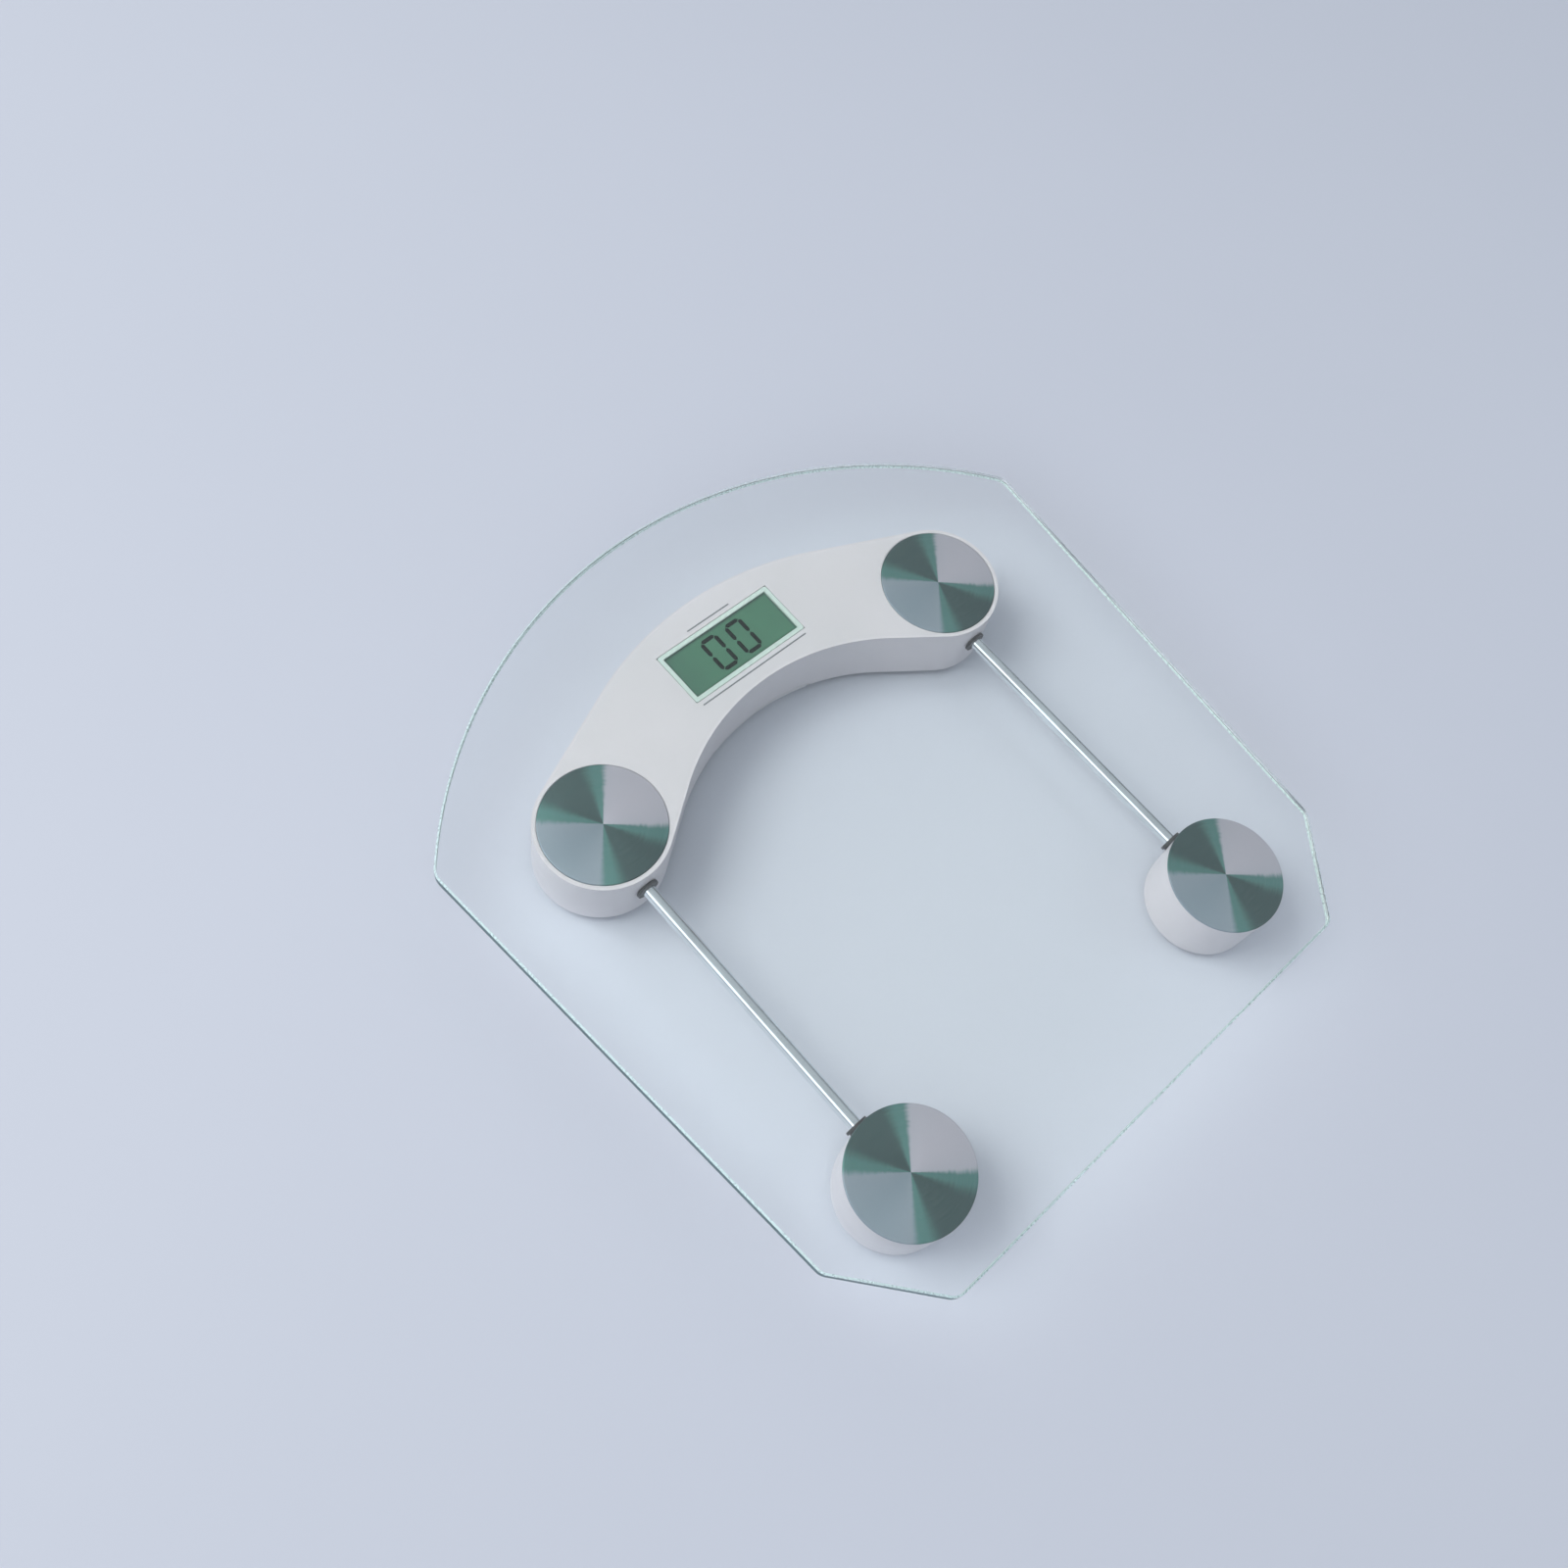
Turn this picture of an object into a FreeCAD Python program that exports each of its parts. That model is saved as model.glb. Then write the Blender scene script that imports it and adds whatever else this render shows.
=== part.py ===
import FreeCAD, Part
import math
import os

# Digital bathroom scale: a clear glass platform on four load-cell feet.
# Millimetres. +Z is up, +Y points to the display side (away from the user),
# +X is the user's right. The origin is on the floor under the middle of the platform.

V = FreeCAD.Vector

# ---------------------------------------------------------------- driving sizes
# glass platform
GLASS_WIDTH = 330.0
GLASS_DEPTH = 334.5
GLASS_THICKNESS = 6.0
BACK_ARC_RISE = 79.0           # how far the bowed back edge stands out past its corners
SIDE_TAPER = 14.0              # how much nearer the middle each side edge is at the front
FRONT_CUT_WIDTH = 33.0
FRONT_CUT_DEPTH = 41.5
BACK_CORNER_RADIUS = 9.0
FRONT_CORNER_RADIUS = 7.0
GROUND_EDGE = 0.8

# where the feet stand, from the edges of the glass
FOOT_FROM_SIDE = 66.5
FOOT_FROM_FRONT = 46.1
FOOT_FROM_BACK = 101.6

# load cells
CELL_SIDE = 32.0
CELL_THICKNESS = 2.6
CELL_BASE_HEIGHT = 11.4
CELL_SLOT = 1.6
CELL_FRAME = 5.0
CELL_CORNER = 2.0
CELL_CLEARANCE = 0.97          # between the cell's corners and the wall of the foot
CLAMP_THICKNESS = 2.8
CLAMP_HOLE_RADIUS = 14.5
GAUGE_FOIL = (5.6, 7.2, 0.25)
GAUGE_GLUE = (4.0, 5.4, 0.65)
GAUGE_PLACE = 0.45             # along the tongue, as a share of its half length
SCREW_PLACE = 0.30
TONGUE_WAIST = 0.45            # the tongue's narrowest width, as a share of its full width

# feet
FOOT_WALL = 3.1
FOOT_DRAFT = 0.5               # how much wider a foot is at its top
FOOT_ROOF = 2.4
FOOT_RIM_HEIGHT = 4.0          # lower rim of the housings above the floor
RIM_ROUND = 0.8
DISC_OVERHANG = 0.3
DISC_THICKNESS = 0.8
DISC_CHAMFER = 0.24
PAD_BORDER = 3.25
PAD_THICKNESS = 2.0
PAD_RECESS = 1.0
PAD_ROUND = 0.5
PAD_RINGS = (9.0, 15.0)
PAD_RING_WIDTH = 1.2
SHOE_FLOOR = 4.0
SHOE_WALL = 1.8
SHOE_RIB = 1.5
SHOE_BOSS_RADIUS = 5.0
FOOT_SCREW_RADIUS = 1.5
FOOT_SCREW_HEAD = 1.8
FOOT_TRAVEL = 0.6              # how far a foot yields under full load

# crescent housing
POD_BORDER = 2.0               # white rim round each back disc
OUTER_DROP = 10.74             # how far the outer arc lies inside the pods' far sides
INNER_DROP = 2.74              # how far the inner arc lies past the pods' near sides
SHELL_WALL = 2.2
SHELL_ROOF = 2.4
BOND_THICKNESS = 0.4
BOND_INSET = 1.0
COVER_THICKNESS = 2.2
COVER_BOSS_RADIUS = 3.2
COVER_BOSS_GAP = 1.2
COVER_BOSS_ANGLE = 25.0        # degrees either side of the middle
COVER_SCREW_RADIUS = 1.3
COVER_SCREW_HEAD = 1.3
COVER_SCREW_LENGTH = 9.0
PILOT_END = 4.0                # solid left between a pilot hole and the roof

# display
LCD_WINDOW_X = 59.0
LCD_WINDOW_Y = 23.0
LCD_FROM_OUTER_ARC = 27.5      # window centre to the crescent's outer arc
LCD_FRAME_BORDER = 2.0
LCD_FRAME_THICKNESS = 1.0
LCD_GLASS_THICKNESS = 2.2
LIGHT_GUIDE_THICKNESS = 3.2
ZEBRA_WIDTH = 2.0
DIGIT_HEIGHT = 18.0
DIGIT_WIDTH = 9.6
DIGIT_PITCH = 14.0
SEGMENT_WIDTH = 1.9
SEGMENT_GAP = 0.5
SEGMENT_THICKNESS = 0.1

# battery (standard 9 V block) and its door
BATTERY_X = 48.5
BATTERY_Y = 26.5
BATTERY_Z = 17.5
BATTERY_CORNER = 2.0
BATTERY_LIFT = 2.0             # ribs of air between the battery and the cover
SNAP_LENGTH = 6.5
SNAP_PLATE = (3.5, 24.0, 13.0)
SNAP_STUD_RADIUS = 3.6
SNAP_STUD_SPACING = 12.6
SNAP_STUD_LENGTH = 3.2
LEAD_RADIUS = 0.7
LEAD_BEND = 3.0
LEAD_REACH = 6.0
LEAD_SPACING = 4.0
LEAD_RISE = 3.5
BAY_WALL = 1.5
BAY_HEIGHT = 14.0
LEAD_NOTCH = (10.0, 7.0)       # width and depth
DOOR_TONGUE = 1.6
DOOR_THICKNESS = 2.0
DOOR_RIDGES = 5
DOOR_RIDGE = (18.0, 1.1, 0.5)
DOOR_RIDGE_PITCH = 2.6
DOOR_RIDGE_START = 7.0         # from the inner wall to the first ridge

# unit button and switches
BUTTON_RADIUS = 4.5
BUTTON_PROUD = 0.9
BUTTON_TRAVEL = 0.8
BUTTON_COLLAR = 1.4
BUTTON_COLLAR_HEIGHT = 1.2
BUTTON_STEM_RADIUS = 2.0
BUTTON_FROM_BAY = 0.9
BUTTON_FROM_SCREW = 4.0
SWITCH_SIDE = 6.0
SWITCH_HEIGHT = 3.4
SWITCH_TIP_RADIUS = 1.7
SWITCH_TIP = 0.9
TAP_SWITCH_RADIUS = 1.1
TAP_SWITCH_LENGTH = 8.0
TAP_SWITCH_SPOT = (8.0, -11.0)  # from the middle of the board

# circuit board
BOARD_MARGIN_Y = 1.5
BOARD_OFFSET = 1.0             # from the display's middle towards the outer wall
BOARD_THICKNESS = 1.6
BOARD_SCREW_INSET = 4.0
BOARD_SCREW_RADIUS = 1.1
BOARD_SCREW_HEAD = 1.2
BOARD_BOSS_RADIUS = 3.0
BOARD_BOSS_GAP = 1.0
BOARD_PILOT_END = 0.5
ROOM_ABOVE_BATTERY = 2.9       # for the parts on the underside of the board
PLUG_LENGTH = 3.4
PLUG_GAP = 0.3
PLUG_HALF = 2.2
CHIP_RADIUS = 4.5
CHIP_HEIGHT = 1.4
CHIP_ROUND = 1.2
CAPACITOR_RADIUS = 1.6
CAPACITOR_HEIGHT = 2.0
CAPACITOR_SPOTS = ((-27.0, 8.0), (-27.0, -8.0), (30.0, -3.0))
RESISTOR = (1.6, 3.0, 0.7)
RESISTOR_PITCH = 4.0
RESISTOR_COUNT = 4
RESISTOR_Y = 11.0

# wire tubes and wires
TUBE_RADIUS = 3.0
TUBE_WALL = 0.6
TUBE_DROP = 5.6                # tube axis below the circuit board
TUBE_INSERTION = 5.0
TUBE_REACH = 1.0               # how far a tube reaches past the bore of a front foot
BUSH_RADIUS = 4.4
BUSH_FLANGE_RADIUS = 5.2
BUSH_FLANGE = 1.2
BUSH_BARREL = 2.0
FRONT_BUSH_STANDOFF = 0.9
BACK_BUSH_STANDOFF = 0.1
WIRE_RADIUS = 1.2
WIRE_BEND = 4.0
WIRE_APPROACH = 0.25           # last bend, as a share of the way from the plug to the pod
FRONT_WIRE_Y = 1.5             # where the wires meet their plug, from the middle of the board
BACK_WIRE_Y = -4.5
FRONT_WIRE_TURN = -9.0         # bend of the front wire, from the pod's middle
WIRE_INSIDE_BORE = 5.0
FRONT_WIRE_INNER_ANGLE = 23.8  # degrees from the X axis, about the pod's middle
FRONT_WIRE_OUTER_ANGLE = 30.0
FRONT_WIRE_OUTSIDE = 6.2       # past the pod's ring
BACK_WIRE_ANGLE = 14.0
BACK_WIRE_OUTSIDE = 4.0
BACK_WIRE_NEARER = 3.0         # how much nearer the plug the back wire bends
BACK_WIRE_START = -3.0
POD_SLOT_ANGLE = 21.5          # degrees between the pod's wire slot and the X axis
POD_SLOT_HALF = 7.4
POD_SLOT_OUTSIDE = 4.0
POD_SLOT_INSIDE = 3.0
POD_SLOT_FLOOR = 1.0
POD_SLOT_ROOM = 2.0

# clearances
SEAT = 0.05                    # between pieces that rest against each other
FIT = 0.25                     # between moulded pieces that slip together
RUNNING = 0.35                 # between pieces that move past each other
TRAVEL_SPARE = 0.2             # left over at the end of a travel
ROOT = 1.0                     # how far fused shapes and cuts run into each other
STEP = 0.2                     # the same, for thin steps
SAME = 1e-4                    # places nearer than this are one place

# screw heads, as shares of their height or radius
HEAD_ROUNDING = 0.45
RECESS_DEPTH = 0.5
RECESS_WIDTH = 0.3
RECESS_LENGTH = 1.2

# ---------------------------------------------------------------- places worked out
foot_x = GLASS_WIDTH / 2 - FOOT_FROM_SIDE
front_y = -GLASS_DEPTH / 2 + FOOT_FROM_FRONT
back_y = GLASS_DEPTH / 2 - FOOT_FROM_BACK
feet_middle_y = (front_y + back_y) / 2
feet_reach = math.hypot(foot_x, back_y - feet_middle_y)
FEET = {
    "front_left": (-foot_x, front_y),
    "front_right": (foot_x, front_y),
    "back_left": (-foot_x, back_y),
    "back_right": (foot_x, back_y),
}
foot_bore = CELL_SIDE * math.sqrt(0.5) + CELL_CLEARANCE
foot_top_radius = foot_bore + FOOT_WALL
foot_base_radius = foot_top_radius - FOOT_DRAFT
disc_radius = foot_top_radius + DISC_OVERHANG
pod_radius = disc_radius + POD_BORDER
ring_radius = pod_radius - SHELL_WALL
pad_radius = foot_bore - RUNNING - PAD_BORDER
outer_radius = feet_reach + pod_radius - OUTER_DROP
inner_radius = feet_reach - pod_radius - INNER_DROP

cover_base = FOOT_RIM_HEIGHT
cover_top = cover_base + COVER_THICKNESS
battery_base = cover_top + BATTERY_LIFT
board_base = battery_base + BATTERY_Z + ROOM_ABOVE_BATTERY
guide_base = board_base + BOARD_THICKNESS
lcd_base = guide_base + LIGHT_GUIDE_THICKNESS
lcd_frame_base = lcd_base + LCD_GLASS_THICKNESS
shell_top = lcd_frame_base + LCD_FRAME_THICKNESS
shell_ceiling = shell_top - SHELL_ROOF
glass_height = shell_top + BOND_THICKNESS
disc_base = glass_height - DISC_THICKNESS
foot_ceiling = disc_base - FOOT_ROOF
tube_z = board_base - TUBE_DROP

cell_top = CELL_BASE_HEIGHT + CELL_THICKNESS
cell_inner = CELL_SIDE / 2 - CELL_FRAME
clamp_base = CELL_BASE_HEIGHT - CLAMP_THICKNESS
shoe_base = PAD_THICKNESS - PAD_RECESS
shoe_floor = shoe_base + SHOE_FLOOR
boss_top = CELL_BASE_HEIGHT - FOOT_TRAVEL - TRAVEL_SPARE

lcd_x = LCD_WINDOW_X + 2 * LCD_FRAME_BORDER
lcd_depth = LCD_WINDOW_Y + 2 * LCD_FRAME_BORDER
lcd_y = feet_middle_y + outer_radius - LCD_FROM_OUTER_ARC
bay_x = BATTERY_X + SNAP_LENGTH + 4 * FIT
bay_y = BATTERY_Y + 2 * FIT
battery_x = bay_x / 2 - FIT - BATTERY_X / 2
door_x = bay_x + 2 * DOOR_TONGUE
door_back = lcd_y + bay_y / 2 + BAY_WALL

button_x = bay_x / 2 + BAY_WALL + BUTTON_FROM_BAY + BUTTON_RADIUS + BUTTON_COLLAR
board_end_by_button = button_x + SWITCH_SIDE / 2 + PLUG_GAP + PLUG_LENGTH
board_end_by_display = lcd_x / 2 + BOARD_BOSS_GAP + BOARD_BOSS_RADIUS + BOARD_SCREW_INSET
board_end = max(board_end_by_button, board_end_by_display)
board_half_y = lcd_depth / 2 + BOARD_MARGIN_Y
board_y = lcd_y + BOARD_OFFSET
button_y = board_y + board_half_y - BOARD_SCREW_INSET - BOARD_BOSS_RADIUS - BUTTON_FROM_SCREW
switch_tip = board_base - SWITCH_HEIGHT - SWITCH_TIP
board_pilot_top = shell_ceiling - BOARD_PILOT_END


# ---------------------------------------------------------------- small builders
def box(x_low, x_high, y_low, y_high, z_low, z_high):
    return Part.makeBox(x_high - x_low, y_high - y_low, z_high - z_low, V(x_low, y_low, z_low))


def centred_box(x, y, width, depth, z_low, z_high):
    return box(x - width / 2, x + width / 2, y - depth / 2, y + depth / 2, z_low, z_high)


def cylinder(x, y, z_low, z_high, radius):
    return Part.makeCylinder(radius, z_high - z_low, V(x, y, z_low))


def cylinder_y(x, y_low, y_high, z, radius):
    return Part.makeCylinder(radius, y_high - y_low, V(x, y_low, z), V(0, 1, 0))


def mirrored(shape):
    return shape.mirror(V(0, 0, 0), V(1, 0, 0))


def group(solids):
    return Part.makeCompound(solids)


def ring(x, y, z_low, z_high, outer, inner):
    return cylinder(x, y, z_low, z_high, outer).cut(cylinder(x, y, z_low, z_high, inner))


def vertical_edges(shape, wanted=lambda x, y: True):
    found = []
    for edge in shape.Edges:
        first, last = edge.Vertexes[0].Point, edge.Vertexes[-1].Point
        if abs(first.x - last.x) + abs(first.y - last.y) < SAME and wanted(first.x, first.y):
            found.append(edge)
    return found


def edges_at_height(shape, height):
    found = []
    for edge in shape.Edges:
        bounds = edge.BoundBox
        if abs(bounds.ZMin - height) < SAME and abs(bounds.ZMax - height) < SAME:
            found.append(edge)
    return found


def edges_along_x(shape, length):
    return [edge for edge in shape.Edges if abs(edge.BoundBox.XLength - length) < SAME]


def screw(x, y, head_low, head_radius, head_height, shank_radius, shank_length):
    """A pan-head screw driven upwards: the head with its cross recess is below, the shank above."""
    head_high = head_low + head_height
    head = cylinder(x, y, head_low, head_high, head_radius)
    head = head.makeFillet(head_height * HEAD_ROUNDING, edges_at_height(head, head_low))
    body = head.fuse(cylinder(x, y, head_high, head_high + shank_length, shank_radius))
    recess_top = head_low + head_height * RECESS_DEPTH
    short = head_radius * RECESS_WIDTH
    long = head_radius * RECESS_LENGTH
    for width, depth in ((short, long), (long, short)):
        body = body.cut(centred_box(x, y, width, depth, head_low, recess_top))
    return body


def rounded_path(points, bend):
    """Straight runs joined by tangent arcs of one radius."""
    edges = []
    start = points[0]
    for before, corner, after in zip(points, points[1:], points[2:]):
        back = (before - corner).normalize()
        ahead = (after - corner).normalize()
        half_turn = (math.pi - back.getAngle(ahead)) / 2
        trim = bend * math.tan(half_turn)
        arc_start = corner + back * trim
        arc_end = corner + ahead * trim
        middle = corner + (back + ahead).normalize() * (bend / math.cos(half_turn) - bend)
        edges.append(Part.LineSegment(start, arc_start).toShape())
        edges.append(Part.Arc(arc_start, middle, arc_end).toShape())
        start = arc_end
    edges.append(Part.LineSegment(start, points[-1]).toShape())
    return Part.Wire(edges)


def round_wire(points, bend, radius):
    path = rounded_path(points, bend)
    section = Part.Wire(Part.makeCircle(radius, points[0], points[1] - points[0]))
    return path.makePipeShell([section], True, True)


# ---------------------------------------------------------------- crescent outline
def crescent_face(inset, height):
    """The crescent seen from above, shrunk all round by inset.

    Two arcs about the middle of the feet, two round pods about the back feet, and
    straight lines that touch the arcs and the pods.
    """
    outer = outer_radius - inset
    inner = inner_radius + inset
    pod = pod_radius - inset
    towards_pod = math.atan2(back_y - feet_middle_y, foot_x)
    outer_touch = towards_pod + math.acos((outer - pod) / feet_reach)
    inner_touch = towards_pod + math.acos((inner + pod) / feet_reach)
    pod_middle = (outer_touch + inner_touch - math.pi) / 2

    def about_middle(radius, angle, side):
        return V(side * radius * math.cos(angle), feet_middle_y + radius * math.sin(angle), height)

    def about_pod(angle, side):
        return V(side * (foot_x + pod * math.cos(angle)), back_y + pod * math.sin(angle), height)

    def half(side):
        return (about_middle(outer, outer_touch, side), about_pod(outer_touch, side),
                about_pod(pod_middle, side), about_pod(inner_touch + math.pi, side),
                about_middle(inner, inner_touch, side))

    r_outer, r_pod_start, r_pod_middle, r_pod_end, r_inner = half(1)
    l_outer, l_pod_start, l_pod_middle, l_pod_end, l_inner = half(-1)
    top = V(0, feet_middle_y + outer, height)
    bottom = V(0, feet_middle_y + inner, height)
    edges = [
        Part.Arc(l_outer, top, r_outer).toShape(),
        Part.LineSegment(r_outer, r_pod_start).toShape(),
        Part.Arc(r_pod_start, r_pod_middle, r_pod_end).toShape(),
        Part.LineSegment(r_pod_end, r_inner).toShape(),
        Part.Arc(r_inner, bottom, l_inner).toShape(),
        Part.LineSegment(l_inner, l_pod_end).toShape(),
        Part.Arc(l_pod_end, l_pod_middle, l_pod_start).toShape(),
        Part.LineSegment(l_pod_start, l_outer).toShape(),
    ]
    return Part.Face(Part.Wire(edges))


def crescent_prism(inset, z_low, z_high):
    return crescent_face(inset, z_low).extrude(V(0, 0, z_high - z_low))


# ---------------------------------------------------------------- glass platform
def glass_platform():
    half = GLASS_WIDTH / 2
    back = GLASS_DEPTH / 2
    front = -back
    corner_y = back - BACK_ARC_RISE
    cut_y = front + FRONT_CUT_DEPTH
    side_front = half - SIDE_TAPER
    front_half = side_front - FRONT_CUT_WIDTH
    z = glass_height
    right = [V(half, corner_y, z), V(side_front, cut_y, z), V(front_half, front, z)]
    left = [V(-p.x, p.y, z) for p in reversed(right)]
    corners = right + left
    edges = [Part.Arc(left[-1], V(0, back, z), right[0]).toShape()]
    for start, end in zip(corners, corners[1:]):
        edges.append(Part.LineSegment(start, end).toShape())
    plate = Part.Face(Part.Wire(edges)).extrude(V(0, 0, GLASS_THICKNESS))
    plate = plate.makeFillet(BACK_CORNER_RADIUS, vertical_edges(plate, lambda x, y: y > 0))
    plate = plate.makeFillet(FRONT_CORNER_RADIUS, vertical_edges(plate, lambda x, y: y < cut_y + SAME))
    rims = edges_at_height(plate, z) + edges_at_height(plate, z + GLASS_THICKNESS)
    return plate.makeChamfer(GROUND_EDGE, rims)


# ---------------------------------------------------------------- feet
def trim_disc(x, y):
    disc = cylinder(x, y, disc_base, glass_height, disc_radius)
    return disc.makeChamfer(DISC_CHAMFER, edges_at_height(disc, glass_height))


def cell_posts(x, y, ceiling):
    """Four posts that come down from a roof onto the corners of the load cell."""
    reach = CELL_SIDE / 2 - CELL_FRAME / 2
    posts = []
    for side_x in (-1, 1):
        for side_y in (-1, 1):
            posts.append(centred_box(x + side_x * reach, y + side_y * reach,
                                     CELL_FRAME, CELL_FRAME, cell_top, ceiling + ROOT))
    return posts


def front_foot_housing(x, y):
    """A slightly tapered cup, open below, with a side hole for the wire tube."""
    outside = Part.makeCone(foot_base_radius, foot_top_radius, disc_base - FOOT_RIM_HEIGHT,
                            V(x, y, FOOT_RIM_HEIGHT))
    outside = outside.makeFillet(RIM_ROUND, edges_at_height(outside, FOOT_RIM_HEIGHT))
    cup = outside.cut(cylinder(x, y, FOOT_RIM_HEIGHT - ROOT, foot_ceiling, foot_bore))
    cup = cup.fuse(cell_posts(x, y, foot_ceiling))
    return cup.cut(cylinder_y(x, y, y + foot_top_radius + ROOT, tube_z, BUSH_RADIUS + SEAT))


def load_cell(x, y):
    """A stamped steel plate whose slots leave a middle tongue, with a waist, inside a square frame."""
    plate = centred_box(x, y, CELL_SIDE, CELL_SIDE, CELL_BASE_HEIGHT, cell_top)
    plate = plate.makeFillet(CELL_CORNER, vertical_edges(plate))
    slot_low = y - cell_inner
    tongue = cell_inner - CELL_SLOT
    notch = tongue * (1 - TONGUE_WAIST)
    tongue_block = centred_box(x, y, 2 * tongue, CELL_SIDE, CELL_BASE_HEIGHT, cell_top)
    cuts = [box(x - cell_inner, x + cell_inner, slot_low, slot_low + CELL_SLOT, CELL_BASE_HEIGHT, cell_top)]
    for side in (-1, 1):
        middle = x + side * (cell_inner - CELL_SLOT / 2)
        cuts.append(box(middle - CELL_SLOT / 2, middle + CELL_SLOT / 2, slot_low, y + cell_inner,
                        CELL_BASE_HEIGHT, cell_top))
        side_notch = cylinder(x + side * tongue, gauge_y(y), CELL_BASE_HEIGHT, cell_top, notch)
        cuts.append(side_notch.common(tongue_block))
    cuts.append(cylinder(x, screw_y(y), CELL_BASE_HEIGHT, cell_top, FOOT_SCREW_RADIUS + RUNNING))
    return plate.cut(cuts)


def gauge_y(y):
    return y + cell_inner * GAUGE_PLACE


def screw_y(y):
    """Where the foot screw passes through the load cell's tongue."""
    return y - cell_inner * SCREW_PLACE


def strain_gauge(x, y):
    foil_x, foil_y, foil_z = GAUGE_FOIL
    glue_x, glue_y, glue_z = GAUGE_GLUE
    foil_top = cell_top + foil_z
    glue_top = foil_top + glue_z
    foil = centred_box(x, gauge_y(y), foil_x, foil_y, cell_top, foil_top)
    glue = centred_box(x, gauge_y(y), glue_x, glue_y, foil_top, glue_top)
    return foil.fuse(glue.makeFillet(glue_z / 2, edges_at_height(glue, glue_top)))


def cell_clamp(x, y):
    """A ring pressed into the foot below the load cell, which carries its corners."""
    return ring(x, y, clamp_base, CELL_BASE_HEIGHT, foot_bore - SEAT, CLAMP_HOLE_RADIUS)


def foot_shoe(x, y):
    """The floating shoe: a shallow cup with a boss that pushes on the load cell."""
    radius = foot_bore - RUNNING
    top = clamp_base - FOOT_TRAVEL - TRAVEL_SPARE
    rib = CLAMP_HOLE_RADIUS - ROOT
    shoe = cylinder(x, y, shoe_base, top, radius)
    shoe = shoe.makeFillet(RIM_ROUND, edges_at_height(shoe, shoe_base))
    shoe = shoe.cut([
        cylinder(x, y, shoe_floor, top, radius - SHOE_WALL),
        cylinder(x, y, shoe_base, PAD_THICKNESS, pad_radius + SEAT),
    ])
    shoe = shoe.fuse([
        cylinder(x, screw_y(y), shoe_floor, boss_top, SHOE_BOSS_RADIUS),
        ring(x, y, shoe_floor, top, rib, rib - SHOE_RIB),
    ])
    return shoe.cut(cylinder(x, screw_y(y), shoe_floor, boss_top, FOOT_SCREW_RADIUS))


def foot_screw(x, y):
    """Holds the shoe: threads into its boss, with its head above the load cell's tongue."""
    head_low = cell_top + SEAT
    head_high = head_low + FOOT_SCREW_HEAD
    shank = cylinder(x, screw_y(y), shoe_floor, head_low, FOOT_SCREW_RADIUS)
    head = cylinder(x, screw_y(y), head_low, head_high, FOOT_SCREW_RADIUS * 2)
    head = head.makeFillet(FOOT_SCREW_HEAD * HEAD_ROUNDING, edges_at_height(head, head_high))
    return shank.fuse(head)


def foot_pad(x, y):
    """The rubber pad under the shoe, with two shallow grip rings."""
    pad = cylinder(x, y, 0, PAD_THICKNESS, pad_radius)
    pad = pad.makeFillet(PAD_ROUND, edges_at_height(pad, 0))
    half = PAD_RING_WIDTH / 2
    return pad.cut([ring(x, y, 0, PAD_ROUND, radius + half, radius - half) for radius in PAD_RINGS])


# ---------------------------------------------------------------- crescent housing
def cover_boss_spots():
    """Screw places: two each side, near the outer and the inner wall of the crescent."""
    inset = SHELL_WALL + COVER_BOSS_RADIUS + COVER_BOSS_GAP
    spots = []
    for side in (-1, 1):
        for radius in (outer_radius - inset, inner_radius + inset):
            angle = math.radians(90 - side * COVER_BOSS_ANGLE)
            spots.append((radius * math.cos(angle), feet_middle_y + radius * math.sin(angle)))
    return spots


def board_screw_spots():
    reach_x = board_end - BOARD_SCREW_INSET
    reach_y = board_half_y - BOARD_SCREW_INSET
    return [(side_x * reach_x, board_y + side_y * reach_y) for side_x in (-1, 1) for side_y in (-1, 1)]


def pod_wire_slot(side):
    """Opening in a pod's inner ring that lets the wires out towards the display."""
    slot = box(-ring_radius - POD_SLOT_OUTSIDE, -foot_bore + POD_SLOT_INSIDE, -POD_SLOT_HALF, POD_SLOT_HALF,
               cell_top + POD_SLOT_FLOOR, tube_z + WIRE_RADIUS + POD_SLOT_ROOM)
    slot.rotate(V(0, 0, 0), V(0, 0, 1), -POD_SLOT_ANGLE)
    slot.translate(V(foot_x, back_y, 0))
    return slot if side > 0 else mirrored(slot)


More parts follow.
